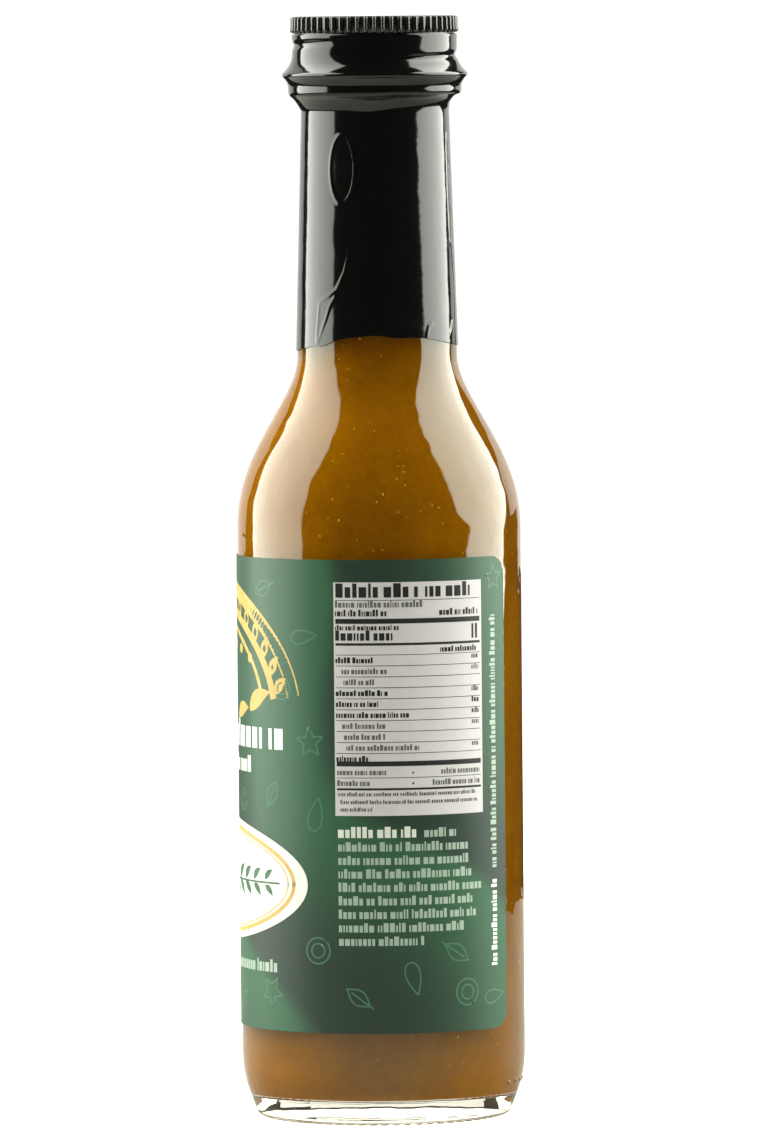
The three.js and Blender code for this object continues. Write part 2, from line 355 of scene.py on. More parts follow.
sauce = new_piece("sauce_filling", revolve(
    "sauce_filling", inside(INTO_WALL, FILL_LEVEL) + [(0, FILL_LEVEL)], 192), puree)
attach(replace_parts(sauce, "sauce"), "root")

# Flecks lie scattered over the sauce's outside, each a small flattened lump at a random turn and size.
tree, size = geometry_tree("flecks_in_sauce", {
    "Density": "NodeSocketFloat", "Seed": "NodeSocketInt", "Smallest": "NodeSocketFloat",
    "Largest": "NodeSocketFloat", "Lowest": "NodeSocketFloat", "Material": "NodeSocketMaterial"})
place = add(tree, "ShaderNodeSeparateXYZ", {0: add(tree, "GeometryNodeInputPosition").outputs[0]})
on_wall = reckon(tree, "GREATER_THAN", place.outputs["Z"], size["Lowest"])
spots = add(tree, "GeometryNodeDistributePointsOnFaces", {
    "Mesh": size["Geometry"], "Selection": on_wall,
    "Density": size["Density"], "Seed": size["Seed"]})
lump = add(tree, "GeometryNodeMeshIcoSphere", {"Radius": 1.0, "Subdivisions": 1})
lump = add(tree, "GeometryNodeTransform", {"Geometry": lump.outputs["Mesh"], "Scale": (1.0, 0.7, 0.4)})
span = add(tree, "FunctionNodeRandomValue", {
    2: size["Smallest"], 3: size["Largest"], "Seed": size["Seed"]}, data_type="FLOAT")
turn = add(tree, "FunctionNodeRandomValue", {
    1: (6.28, 6.28, 6.28), "Seed": size["Seed"]}, data_type="FLOAT_VECTOR")
lumps = add(tree, "GeometryNodeInstanceOnPoints", {
    "Points": spots.outputs["Points"], "Instance": lump.outputs[0],
    "Rotation": turn.outputs[0], "Scale": span.outputs[1]})
hand_out(tree, lumps.outputs[0], size["Material"])
scatter_flecks = tree

# Name, colours from and to, flecks in a square centimetre, and smallest and largest half-size in millimetres
FLECKS = [("pulp_flecks", "#D09A2C", "#ECC65C", 7.0, 0.06, 0.22),
          ("pepper_flecks", "#9A5A08", "#B87416", 1.3, 0.15, 0.45),
          ("charred_flecks", "#2A1503", "#4A2A08", 0.6, 0.07, 0.18),
          ("seed_flecks", "#E9D9B4", "#FBF6EA", 0.22, 0.14, 0.34)]
FLECKS_FROM = 8.5
for seed, (name, dark, light, crowd, smallest, largest) in enumerate(FLECKS, start=3):
    # Wet bits of pulp, skin or seed: soft, slightly uneven in colour from one to the next
    bits, tree, coords, output = new_material(name + "_wet")
    patch = mottle(tree, coords.outputs["Object"], 3)
    colour = add(tree, "ShaderNodeMix", {
        0: patch, 6: linear(dark), 7: linear(light)}, data_type="RGBA")
    body = add(tree, "ShaderNodeBsdfPrincipled", {
        "Base Color": colour.outputs[2], "Roughness": 0.55, "Specular IOR Level": 0.0})
    tree.links.new(body.outputs[0], output.inputs["Surface"])
    flecks = new_piece(name, sauce.data.copy())
    grow(flecks, scatter_flecks, {
        "Density": crowd / (10 * MM) ** 2, "Seed": seed, "Smallest": smallest * MM,
        "Largest": largest * MM, "Lowest": FLECKS_FROM * MM, "Material": bits})
    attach(flecks, "root")

# Screw cap: a drawn metal cap in black enamel, with a knurled rim to grip and a plain skirt.
# It screws down on the glass thread, and the band over its skirt holds it shut.
CAP_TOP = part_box("cap")[1].z / MM
RIM_RADIUS = 13.05
RIM_HEIGHT = 2.7
RIB_COUNT = 60
RIB_PROUD = 0.55
RIB_WIDTH = 0.8
SKIRT_RADIUS = 12.95
ENAMEL = "#1A1A1A"
# How far a rib stands out at places up the rim, as shares of its height and of its full depth
RIB_TAPER = [(-0.50, 0.02), (-0.47, 0.6), (-0.41, 0.95), (-0.3, 1.12), (-0.1, 1), (0.36, 1),
             (0.45, 0.8), (0.5, 0.02)]

# Black enamel, sprayed and stoved: half gloss, with a faint orange peel and a sheen worn by handling.
enamel, tree, coords, output = new_material("black_enamel")
peel = mottle(tree, coords.outputs["Object"], 0.9)
bump = add(tree, "ShaderNodeBump", {"Height": peel, "Strength": 0.05, "Distance": 0.05 * MM})
gloss = add(tree, "ShaderNodeMapRange", {"Value": peel, "To Min": 0.18, "To Max": 0.34})
body = add(tree, "ShaderNodeBsdfPrincipled", {
    "Base Color": linear(ENAMEL), "Roughness": gloss.outputs[0], "IOR": 1.5,
    "Specular IOR Level": 1.0, "Normal": bump.outputs[0]})
tree.links.new(body.outputs[0], output.inputs["Surface"])

rim_foot = CAP_TOP - RIM_HEIGHT
cap_profile = [(0, CAP_TOP - 1.1), (12.1, CAP_TOP - 1.1), (12.1, 168.6), (12.6, 168.4), (14.2, 168.6),
               (14.4, 169.2), *bezier((14.4, 169.2), (SKIRT_RADIUS, 170.2), (SKIRT_RADIUS, 171.8), steps=6),
               (SKIRT_RADIUS, rim_foot - 0.3), (RIM_RADIUS - 0.1, rim_foot),
               (RIM_RADIUS, rim_foot + 0.2), (RIM_RADIUS, CAP_TOP - 0.45),
               *bezier((RIM_RADIUS, CAP_TOP - 0.45), (RIM_RADIUS, CAP_TOP),
                       (RIM_RADIUS - 0.6, CAP_TOP), steps=5),
               (RIM_RADIUS - 0.6, CAP_TOP), (0, CAP_TOP)]
cap = new_piece("cap_shell", revolve("cap_shell", cap_profile, 180), enamel)
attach(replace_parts(cap, "cap"), "root")

# One rib is an upright half-round bar, bulged near its foot and tapered at its ends, on the rim at -Y.
across = np.linspace(0, math.pi, 9)
section = np.stack([np.append(-np.cos(across), [1, -1]) * RIB_WIDTH / 2,
                    np.append(-np.sin(across), [0.3, 0.3]) * RIB_PROUD], axis=-1)
rib_rows = []
for up, share in RIB_TAPER:
    level = np.full((len(section), 1), up * RIM_HEIGHT)
    rib_rows.append(np.hstack([section * [1, share] - [0, RIM_RADIUS], level]))
rib = loft("cap_ribs", np.array(rib_rows) + [0, 0, (CAP_TOP + rim_foot) / 2 - 0.05])

tree, size = geometry_tree("ribs_round_rim", {"Count": "NodeSocketInt", "Material": "NodeSocketMaterial"})
spots = add(tree, "GeometryNodePoints", {"Count": size["Count"]})
number = add(tree, "GeometryNodeInputIndex")
share = reckon(tree, "DIVIDE", number.outputs[0], size["Count"])
turn = reckon(tree, "MULTIPLY", share, 2 * math.pi)
turned = add(tree, "ShaderNodeCombineXYZ", {"Z": turn})
ribs = add(tree, "GeometryNodeInstanceOnPoints", {
    "Points": spots.outputs[0], "Instance": size["Geometry"], "Rotation": turned.outputs[0]})
hand_out(tree, ribs.outputs[0], size["Material"])
ribs = grow(new_piece("cap_ribs", rib), tree, {"Count": RIB_COUNT, "Material": enamel})
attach(ribs, "root")

# Shrink band: a printed sleeve of black PVC film, slipped over the cap and neck and shrunk on with hot air.
# It follows the thread in the skirt, the flared curl, the glass ring and the neck, with trapped bubbles
# and creases where it could not shrink flat, and a cut lower edge that has drawn up unevenly.
BAND_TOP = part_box("shrink_band")[1].z / MM
BAND_OVER_GLASS = 0.28
BAND_THICKNESS = 0.2
THREAD_PITCH = 3.175
THREAD_START = 171.2
THREAD_DEPTH = 0.32
FILM = "#0C0C0B"
TAPER_TOP = 163.0


def degrees_from(angle, centre):
    """Signed angle in degrees from a centre, between -180 and 180."""
    return (np.degrees(angle) - centre + 180) % 360 - 180


def band_edge(angle):
    """Height of the drawn-up lower edge, with two small tongues where it shrank less."""
    tongues = 0.40 * np.exp(-((degrees_from(angle, 15) / 11) ** 2))
    tongues = tongues + 0.45 * np.exp(-((degrees_from(angle, -43) / 9) ** 2))
    return 125.6 + 0.45 * np.cos(angle) + 0.35 * np.sin(angle) + 0.95 * np.cos(2 * angle) - tongues


def ridge(angle, height, path, width, rise):
    """A rounded crease of a width and rise along a path of angles in degrees and heights in millimetres."""
    arc = math.radians(1) * neck_radius(145)
    nearest = np.full(np.broadcast(angle, height).shape, 1e3)
    for (angle_a, height_a), (angle_b, height_b) in zip(path, path[1:]):
        along = np.array([(angle_b - angle_a) * arc, height_b - height_a])
        from_a = np.stack(np.broadcast_arrays(degrees_from(angle, angle_a) * arc, height - height_a), axis=-1)
        share = np.clip(from_a @ along / (along @ along), 0, 1)
        nearest = np.minimum(nearest, np.linalg.norm(from_a - share[..., None] * along, axis=-1))
    return rise * np.exp(-((nearest / width) ** 2))


def oval(angle, height, half_angle, half_height):
    """A closed path round a bubble's rim."""
    turn = np.linspace(0, 2 * math.pi, 25)
    return list(zip(angle + half_angle * np.sin(turn), height + half_height * np.cos(turn)))


# Each crease: its path in degrees and millimetres, its half-width and how far it stands up
CREASES = [(oval(-26.2, 153.8, 10.2, 5.5), 0.27, 0.13),
           ([(-19.8, 140.7), (-24, 137.2), (-30, 134.4), (-45.7, 132.2), (-48.1, 126.1)], 0.2, 0.09),
           ([(-31.5, 133.2), (-36, 131.8), (-39.4, 129.6), (-47, 125.8)], 0.2, 0.1),
           (oval(71.5, 150.5, 2.0, 9.0), 0.18, 0.07), ([(73, 141.5), (77, 135), (75, 126)], 0.18, 0.07),
           ([(43, 128.8), (40, 128.4), (38, 126.9)], 0.2, 0.1),
           ([(69, 129), (66.5, 127.4), (63.4, 126.9)], 0.2, 0.1),
           (oval(150, 139, 9, 7), 0.16, 0.06), ([(-120, 152), (-128, 143), (-126, 134)], 0.17, 0.07),
           ([(-168, 133), (-160, 129), (-163, 126.5)], 0.2, 0.09)]


def band_rise(angle, height):
    """How far thread, bubbles and creases move the film from its smooth profile."""
    turned = degrees_from(angle, 170) + 178
    thread = THREAD_START + THREAD_PITCH * turned / 360
    fade = np.clip(turned / 40, 0, 1) * np.clip((352 - turned) / 40, 0, 1)
    rise = -THREAD_DEPTH * fade * np.exp(-(((height - thread) / 0.55) ** 2))
    for path, width, lift in CREASES:
        rise = rise + ridge(angle, height, path, width, lift)
    ripple = np.sin(3.1 * height + 4 * angle) * np.sin(2.3 * height - 7 * angle)
    return rise + 0.003 * ripple


# Radius over the cap and ring, from the neck upwards; the neck's own taper runs below it
film_path = np.array([
    *bezier((12.03, TAPER_TOP), (12.1, 164.2), (12.7, 165.0), (13.75, 165.6), steps=16),
    *bezier((13.75, 165.6), (14.05, 165.8), (14.1, 166.2), (14.08, 166.8), steps=8),
    *bezier((14.08, 166.8), (14.1, 167.6), (14.5, 168.2), (14.95, 168.6), steps=12),
    *bezier((14.95, 168.6), (15.2, 168.85), (15.0, 169.2), steps=5),
    *bezier((15.0, 169.2), (14.2, 170.0), (13.55, 170.7), (13.4, 172.0), steps=14),
    *bezier((13.4, 172.0), (13.34, 173.6), (13.42, BAND_TOP - 0.25), steps=12),
    *bezier((13.42, BAND_TOP - 0.25), (13.38, BAND_TOP), (13.25, BAND_TOP), steps=3), (13.23, BAND_TOP)])
NECK_ROWS = 124
COLUMNS = 420
angle = around(COLUMNS)[None, :]
edge = band_edge(angle)
rows_up = np.linspace(0, 1, NECK_ROWS, endpoint=False)[:, None]
neck_height = edge + (TAPER_TOP - edge) * rows_up
neck_rings = neck_radius(neck_height) + BAND_OVER_GLASS
height = np.vstack([neck_height, np.broadcast_to(film_path[:, 1:], (len(film_path), COLUMNS))])
radius = np.vstack([neck_rings, np.broadcast_to(film_path[:, :1], (len(film_path), COLUMNS))])
# The film dips where it draws in under the ring: lower at the left, with a pucker at the front
sag = 0.5 * np.sin(angle) - 0.5 * np.exp(-((degrees_from(angle, -5) / 13) ** 2))
drawn_in = np.exp(-(((height - 164.4) / 1.1) ** 2))
outer = ring_points(radius + band_rise(angle, height), height + sag * drawn_in, angle)
inner_rows = np.r_[0:NECK_ROWS:12, NECK_ROWS:len(height):3, len(height) - 1]
inner = ring_points((radius + np.minimum(band_rise(angle, height), 0) - BAND_THICKNESS)[inner_rows],
                    (height + sag * drawn_in)[inner_rows], angle)

# PVC shrink film, printed solid black: high gloss over a thin waviness that shakes its reflections.
film, tree, coords, output = new_material("black_shrink_film")
waves = mottle(tree, coords.outputs["Object"], 6)
bump = add(tree, "ShaderNodeBump", {"Height": waves, "Strength": 0.25, "Distance": 0.3 * MM})
gloss = add(tree, "ShaderNodeMapRange", {"Value": waves, "To Min": 0.05, "To Max": 0.12})
body = add(tree, "ShaderNodeBsdfPrincipled", {
    "Base Color": linear(FILM), "Roughness": gloss.outputs[0], "IOR": 1.53, "Normal": bump.outputs[0]})
tree.links.new(body.outputs[0], output.inputs["Surface"])

band = new_piece("shrink_film", loft("shrink_film", np.concatenate([outer, inner[::-1]]), closed=True), film)
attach(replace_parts(band, "shrink_band"), "root")

# Label: one die-cut sheet of white paper, printed green, satin varnished and wrapped round the body.
# Its rounded ends stop short of each other at the back right, where a strip of bare glass is left.
label_low, label_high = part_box("label")
LABEL_BOTTOM = label_low.z / MM
LABEL_TOP = label_high.z / MM
LABEL_RADIUS = -label_low.y / MM
LABEL_WIDTH = 127.0
LABEL_END_ANGLE = 59.2
LABEL_RIGHT = math.radians(LABEL_END_ANGLE) * LABEL_RADIUS
LABEL_LEFT = LABEL_RIGHT - LABEL_WIDTH
LABEL_CORNER = 3.2
LABEL_THICKNESS = 0.15
SWEEP_SPACING = 40.0
GREEN_DARK = "#283A2F"
GREEN_LIGHT = "#305C41"

# Satin varnished paper: broad sweeps from light to dark green, crisp on one side, under a faint fibre.
paper, tree, coords, output = new_material("green_satin_paper")
turned = add(tree, "ShaderNodeMapping", {
    "Vector": coords.outputs["UV"], "Location": (11 * MM, 0, 0), "Rotation": (0, 0, math.radians(-34))})
sweeps = add(tree, "ShaderNodeTexWave", {
    "Vector": turned.outputs[0], "Scale": math.pi / 10 / (SWEEP_SPACING * MM), "Distortion": 4.5,
    "Detail": 0.0, "Detail Scale": 2.2}, wave_profile="SAW")
crisp = add(tree, "ShaderNodeMapRange", {
    "Value": sweeps.outputs["Fac"], "From Min": 0.0, "From Max": 0.12}, interpolation_type="SMOOTHSTEP")
soft = add(tree, "ShaderNodeMapRange", {
    "Value": sweeps.outputs["Fac"], "From Min": 1.0, "From Max": 0.25}, interpolation_type="SMOOTHSTEP")
tone = reckon(tree, "MULTIPLY", crisp.outputs[0], soft.outputs[0])
green = add(tree, "ShaderNodeMix", {
    0: tone, 6: linear(GREEN_LIGHT), 7: linear(GREEN_DARK)}, data_type="RGBA")
fibre = mottle(tree, coords.outputs["UV"], 0.35)
bump = add(tree, "ShaderNodeBump", {"Height": fibre, "Strength": 0.08, "Distance": 0.03 * MM})
gloss = add(tree, "ShaderNodeMapRange", {"Value": fibre, "To Min": 0.34, "To Max": 0.44})
body = add(tree, "ShaderNodeBsdfPrincipled", {
    "Base Color": green.outputs[2], "Roughness": gloss.outputs[0], "IOR": 1.45,
    "Specular IOR Level": 0.45, "Normal": bump.outputs[0]})
tree.links.new(body.outputs[0], output.inputs["Surface"])


def label_half_height(along):
    """Half the label's height at a distance along it, less near its rounded ends."""
    from_end = LABEL_WIDTH / 2 - np.abs(along - (LABEL_LEFT + LABEL_RIGHT) / 2)
    inset = np.clip(LABEL_CORNER - from_end, 0, None)
    rounding = np.sqrt(np.clip(LABEL_CORNER**2 - inset**2, 0, None))
    return (LABEL_TOP - LABEL_BOTTOM) / 2 - LABEL_CORNER + rounding


corner = LABEL_CORNER * (1 - np.cos(np.linspace(0, math.pi / 2, 10)))
between = np.linspace(LABEL_LEFT + LABEL_CORNER, LABEL_RIGHT - LABEL_CORNER, 180)[1:-1]
along = np.r_[LABEL_LEFT + corner, between, LABEL_RIGHT - corner[::-1]]
up = (LABEL_BOTTOM + LABEL_TOP) / 2 + np.array([[-1], [-1], [1], [1]]) * label_half_height(along)
depth = np.array([[LABEL_THICKNESS], [0], [0], [LABEL_THICKNESS]])
sheet = ring_points(LABEL_RADIUS - depth, up, along / LABEL_RADIUS)
columns = len(along)
faces = []
for row in range(4):
    here, above = row * columns, (row + 1) % 4 * columns
    faces += [[here + c, here + c + 1, above + c + 1, above + c] for c in range(columns - 1)]
faces.append([0, columns, 2 * columns, 3 * columns])
faces.append([4 * columns - 1, 3 * columns - 1, 2 * columns - 1, columns - 1])
mesh = bpy.data.meshes.new("label_sheet")
mesh.from_pydata((sheet.reshape(-1, 3) * MM).tolist(), [], faces)
flat_map = mesh.uv_layers.new(name="flat")
flat_places = np.stack([np.broadcast_to(along, up.shape), up], axis=-1).reshape(-1, 2) * MM
for loop in mesh.loops:
    flat_map.data[loop.index].uv = flat_places[loop.vertex_index]
label = new_piece("label_sheet", mesh, paper)
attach(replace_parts(label, "label"), "root")

# Print on the label: flat ink laid on the paper, one colour to each pass of the press.
# Words are rows of plain blocks, and pictures are leaves, drops, rings and stars.
# Every mark is a ribbon in the flat, in millimetres along the label from -Y and up from the table.
INK_SINK = 0.05
RIBBON_STEP = 0.8
inks = {}
draw = random.Random(11)


def ribbon(ink, points, half_width):
    """Adds a ribbon along points, with one half-width or one at each point, split to follow the curve."""
    points = np.array(points, float)
    at = np.r_[0, np.cumsum(np.linalg.norm(np.diff(points, axis=0), axis=1))]
    split = np.union1d(at, np.linspace(0, at[-1], 1 + math.ceil(at[-1] / RIBBON_STEP)))
    path = np.stack([np.interp(split, at, points[:, 0]), np.interp(split, at, points[:, 1])], axis=-1)
    half = np.interp(split, at, np.broadcast_to(half_width, len(points)))[:, None]
    forward = np.gradient(path, axis=0)
    if np.allclose(points[0], points[-1]):
        forward[0] = forward[-1] = path[1] - path[-2]
    sideways = np.stack([-forward[:, 1], forward[:, 0]], axis=-1) / np.linalg.norm(forward, axis=1)[:, None]
    inks.setdefault(ink, []).append((path - sideways * half, path + sideways * half))


def bar(ink, left, right, low, high):
    """A filled upright rectangle."""
    ribbon(ink, [(left, (low + high) / 2), (right, (low + high) / 2)], (high - low) / 2)


def letter_boxes(length, height):
    """Boxes (left, right, low, high) that stand for the letters of a row of words."""
    at = 0.0
    letters_left = draw.randint(3, 8)
    while at < length - 0.2 * height:
        wide = min(height * draw.choice([0.24, 0.42, 0.48, 0.54, 0.72]), length - at)
        yield at, at + wide, 0, height * draw.choice([1.0, 1.0, 1.0, 1.35])
        at += wide + height * 0.19
        letters_left -= 1
        if letters_left == 0:
            at += height * 0.35
            letters_left = draw.randint(2, 9)


def words(ink, left, right, base, height):
    """A row of greeked words between two places along the label."""
    for box_left, box_right, low, high in letter_boxes(right - left, height):
        bar(ink, left + box_left, left + box_right, base + low, base + high)


def words_up(ink, line, low_end, high_end, height):
    """A row of greeked words that reads up the label, with its foot on a line."""
    for box_left, box_right, low, high in letter_boxes(high_end - low_end, height):
        bar(ink, line - high, line - low, low_end + box_left, low_end + box_right)


def turned_points(points, centre, turn, size):
    """Points of a unit shape at a size and a turn in degrees about a centre."""
    cos, sin = math.cos(math.radians(turn)), math.sin(math.radians(turn))
    return np.array(points) @ np.array([[cos, sin], [-sin, cos]]) * size + centre


def leaf(ink, centre, turn, length, fullness=0.26):
    """A filled leaf that lies along its turn."""
    share = np.linspace(0, 1, 13)
    spine = np.stack([share - 0.5, 0.10 * np.sin(math.pi * share)], axis=-1)
    ribbon(ink, turned_points(spine, centre, turn, length),
           length * fullness * np.sin(math.pi * share**0.8) + 0.02)


def oval_disc(ink, centre, half_wide, half_tall):
    """A filled oval."""
    share = np.cos(np.linspace(math.pi, 0, 41))
    points = np.stack([share * half_wide, 0 * share], axis=-1) + centre
    ribbon(ink, points, half_tall * np.sqrt(np.clip(1 - share**2, 0, 1)) + 0.01)


def oval_ring(ink, centre, half_wide, half_tall, half_stroke, start=0, sweep=360):
    """An oval line, or the part of it from a start through a sweep in degrees."""
    turn = np.radians(np.linspace(start, start + sweep, 73))
    ribbon(ink, np.stack([half_wide * np.cos(turn), half_tall * np.sin(turn)], axis=-1) + centre, half_stroke)


# Facts panel: a white field of black rows under rules, as wide as the label's right-hand part allows.
PANEL_LEFT, PANEL_RIGHT, PANEL_BOTTOM, PANEL_TOP = -7.55, 18.05, 50.3, 87.8
bar("panel_white", PANEL_LEFT, PANEL_RIGHT, PANEL_BOTTOM, PANEL_TOP)
RULE_LEFT, RULE_RIGHT = PANEL_LEFT + 0.3, PANEL_RIGHT - 0.4


def panel_words(left, right, top, bottom, bold=False):
    """A row of words in the panel, placed down from its top edge."""
    words("panel_black" if bold else "panel_grey", left, right, PANEL_TOP - bottom, bottom - top)


def panel_rule(top, bottom):
    """A rule across the panel, placed down from its top edge."""
    bar("panel_black", RULE_LEFT, RULE_RIGHT, PANEL_TOP - bottom, PANEL_TOP - top)


panel_words(-7.2, 6.2, 0.75, 2.45, bold=True)
panel_words(7.4, 15.6, 0.75, 2.45, bold=True)
panel_rule(2.85, 2.95)
panel_words(-7.3, 7.2, 3.25, 4.05)
panel_words(-7.3, 1.1, 4.65, 5.45, bold=True)
panel_words(9.8, 17.2, 4.65, 5.45, bold=True)
panel_rule(5.85, 6.65)
panel_words(-7.3, 3.0, 7.05, 7.7, bold=True)
panel_words(-7.3, 2.0, 8.15, 9.35, bold=True)
panel_words(15.9, 17.1, 7.6, 9.35, bold=True)
panel_rule(9.75, 10.15)
panel_words(9.9, 17.3, 10.65, 11.35, bold=True)
panel_rule(11.6, 11.7)
# Each row: where its words start and end, whether they are bold, and whether a value stands at the right
PANEL_ROWS = [(-7.3, -1.0, True, True), (-6.3, 1.25, False, True), (-6.0, -0.85, False, False),
              (-7.3, 1.33, True, True), (-7.3, -0.4, True, True), (-7.3, 4.8, True, True),
              (-6.3, 1.1, False, True), (-6.0, 0.8, False, False), (-5.6, 6.4, False, True),
              (-7.3, -1.9, True, False)]
ROW_PITCH = 1.757
ROWS_TOP = 11.65
for row, (start, end, bold, has_value) in enumerate(PANEL_ROWS):
    top = ROWS_TOP + row * ROW_PITCH
    panel_words(start, end, top + 0.62, top + 1.32, bold)
    if has_value:
        panel_words(15.8, 17.3, top + 0.25, top + 0.9, bold)
    if row < len(PANEL_ROWS) - 1:
        panel_rule(top + ROW_PITCH - 0.05, top + ROW_PITCH + 0.05)
panel_rule(28.75, 29.55)
for top, left_end, right_start in [(30.25, 1.2, 9.9), (32.0, -1.5, 8.4)]:
    panel_words(-7.2, left_end, top, top + 0.7)
    bar("panel_black", 5.0, 5.3, PANEL_TOP - top - 0.5, PANEL_TOP - top - 0.2)
    panel_words(right_start, 17.4, top, top + 0.7)
panel_rule(31.35, 31.45)
panel_rule(33.05, 33.4)
for top, start, end in [(33.85, -7.1, 16.5), (35.1, -6.7, 16.8), (36.3, -6.7, -1.4)]:
    panel_words(start, end, top, top + 0.5)

# Text block under the panel, with a bold first word, and a line that reads up the right-hand edge
TEXT_LEFT = -7.15
TEXT_HEIGHT = 1.1
TEXT_PITCH = 2.17
text_ends = [12.5, 15.4, 14.8, 15.6, 17.6, 15.6, 16.6, 13.9, 6.7]
for row, end in enumerate(text_ends):
    base = 46.75 - row * TEXT_PITCH
    if row == 0:
        words("text_cream", TEXT_LEFT, 5.7, base, 1.2 * TEXT_HEIGHT)
    words("text_pale", 6.9 if row == 0 else TEXT_LEFT, end, base, TEXT_HEIGHT)
words_up("text_cream", 21.3, 25.4, 39.3, 1.05)
words_up("text_pale", 21.3, 41.2, 82.0, 1.05)

# Front of the label: gold arches with leaves over a row of words, and a cream medallion under them
FRONT = -38.9
for radius, half_stroke in [(24.0, 1.25), (19.6, 0.7), (16.6, 0.4)]:
    oval_ring("gold", (FRONT, 66.5), radius, 0.82 * radius, half_stroke, 8, 164)
for side in (-1, 1):
    for step in range(7):
        turn = math.radians(14 + 11 * step)
        centre = (FRONT + side * 21.8 * math.cos(turn), 66.5 + 17.9 * math.sin(turn))
        leaf("gold", centre, 90 + side * (math.degrees(turn) - 90 + 35), 3.6)
    leaf("gold", (FRONT + side * 15.5, 68.2), 90 - side * 62, 7.0, 0.2)
    leaf("gold", (FRONT + side * 9.0, 66.2), 90 - side * 75, 6.0, 0.2)
for spot in range(-3, 4):
    oval_disc("gold", (FRONT + 4.2 * spot, 77.5 - 0.12 * spot**2 * 2.2), 0.8, 0.8)
words("text_cream", FRONT - 21.5, FRONT + 21.5, 60.6, 3.4)
words("text_cream", FRONT - 12.5, FRONT + 12.5, 56.6, 2.0)
oval_disc("medallion_cream", (FRONT, 39.0), 26.3, 9.9)
oval_ring("medallion_gold", (FRONT, 39.0), 23.6, 8.6, 0.35)
oval_ring("medallion_gold", (FRONT, 39.0), 22.4, 7.9, 0.12)
for side in (-1, 1):
    for step in range(5):
        spread = 4.2 + 3.4 * step
        leaf("medallion_green", (FRONT + side * spread, 39.0 + 1.3), 90 - side * 50, 4.0 - 0.35 * step, 0.2)
        leaf("medallion_green", (FRONT + side * spread, 39.0 - 1.3), 90 - side * 130, 4.0 - 0.35 * step, 0.2)
    ribbon("medallion_green", [(FRONT + side * 2.5, 39.0), (FRONT + side * 20.5, 39.0)], 0.16)
leaf("medallion_coral", (FRONT, 40.2), 90, 9.4, 0.3)
words("text_pale", FRONT - 20.0, FRONT + 20.0, 24.6, 1.5)

# Back of the label: a plain column of words over a white block of upright bars
BACK_LEFT, BACK_RIGHT = -97.5, -70.5
for row in range(15):
    end = BACK_RIGHT - (draw.uniform(0, 4) if row % 5 < 4 else 13)
    words("text_pale", BACK_LEFT, end, 83.0 - row * TEXT_PITCH - row // 5 * 1.4, TEXT_HEIGHT)
bar("panel_white", BACK_LEFT + 1.0, BACK_RIGHT - 1.0, 21.5, 38.0)
at = BACK_LEFT + 3.0
while at < BACK_RIGHT - 3.2:
    width = draw.choice([0.33, 0.33, 0.66, 0.99])
    bar("panel_black", at, at + width, 23.0, 36.5)
    at += width + draw.choice([0.33, 0.66, 0.66])

# Faint motifs in a lighter green, scattered where no words are: leaf, drop, ring or star at a random turn
unit = np.radians(np.linspace(0, 360, 37))
LEAF_LINE = np.stack([0.5 * np.cos(unit), 0.24 * np.sin(unit) ** 3], axis=-1)
DROP_LINE = np.stack([0.5 * np.cos(unit), 0.30 * np.sin(unit) * np.sin(unit / 2)], axis=-1)
RING_LINE = np.stack([0.4 * np.cos(unit), 0.4 * np.sin(unit)], axis=-1)
star_turn = np.radians(np.linspace(90, 450, 11))
star_reach = np.where(np.arange(11) % 2, 0.22, 0.5)
STAR_LINE = np.stack([star_reach * np.cos(star_turn), star_reach * np.sin(star_turn)], axis=-1)
MOTIF_STROKE = 0.13
MOTIFS = [(-22.0, 86.5), (-13.0, 79.0), (-17.5, 70.5), (-12.0, 62.0), (-20.0, 53.5), (-11.0, 50.5),
          (-10.8, 28.5), (-20.5, 21.5), (-4.0, 21.0), (5.0, 24.0), (14.5, 21.5), (21.0, 88.0),
          (12.5, 28.0), (20.5, 20.5), (-30.0, 52.0), (-47.0, 52.0), (-57.0, 53.5), (-64.0, 60.0),
          (-66.0, 72.0), (-63.0, 84.0), (-66.5, 46.0), (-67.0, 30.0), (-58.0, 21.0), (-46.0, 19.5),
          (-31.0, 19.5), (-79.0, 44.0), (-91.0, 43.5), (-98.0, 19.0)]
for number, centre in enumerate(MOTIFS):
    turn = draw.uniform(0, 360)
    size = draw.uniform(4.2, 6.0)
    outline = [LEAF_LINE, DROP_LINE, RING_LINE, STAR_LINE][number % 4]
    ribbon("motif_green", turned_points(outline, centre, turn, size), MOTIF_STROKE)
    if number % 4 == 0:
        ribbon("motif_green", turned_points([(-0.62, 0), (0.3, 0)], centre, turn, size), MOTIF_STROKE)
    if number % 4 == 2:
        ribbon("motif_green", turned_points(0.55 * outline, centre, turn, size), MOTIF_STROKE)

# The flat ribbons get a thickness, and are wrapped round the label's radius.
tree, size = geometry_tree("wrapped_print", {
    "Radius": "NodeSocketFloat", "Sink": "NodeSocketFloat", "Lift": "NodeSocketFloat",
    "Material": "NodeSocketMaterial"})
thick = reckon(tree, "ADD", size["Sink"], size["Lift"])
outward = reckon(tree, "MULTIPLY", thick, -1.0)
offset = add(tree, "ShaderNodeCombineXYZ", {"Y": outward})
raised = add(tree, "GeometryNodeExtrudeMesh", {
    "Mesh": size["Geometry"], "Offset": offset.outputs[0], "Individual": False})
underside = add(tree, "GeometryNodeFlipFaces", {0: size["Geometry"]})
slab = add(tree, "GeometryNodeJoinGeometry", {0: raised.outputs["Mesh"]})
tree.links.new(underside.outputs[0], slab.inputs[0])
closed = add(tree, "GeometryNodeMergeByDistance", {"Geometry": slab.outputs[0], "Distance": 0.0001 * MM})
place = add(tree, "ShaderNodeSeparateXYZ", {0: add(tree, "GeometryNodeInputPosition").outputs[0]})
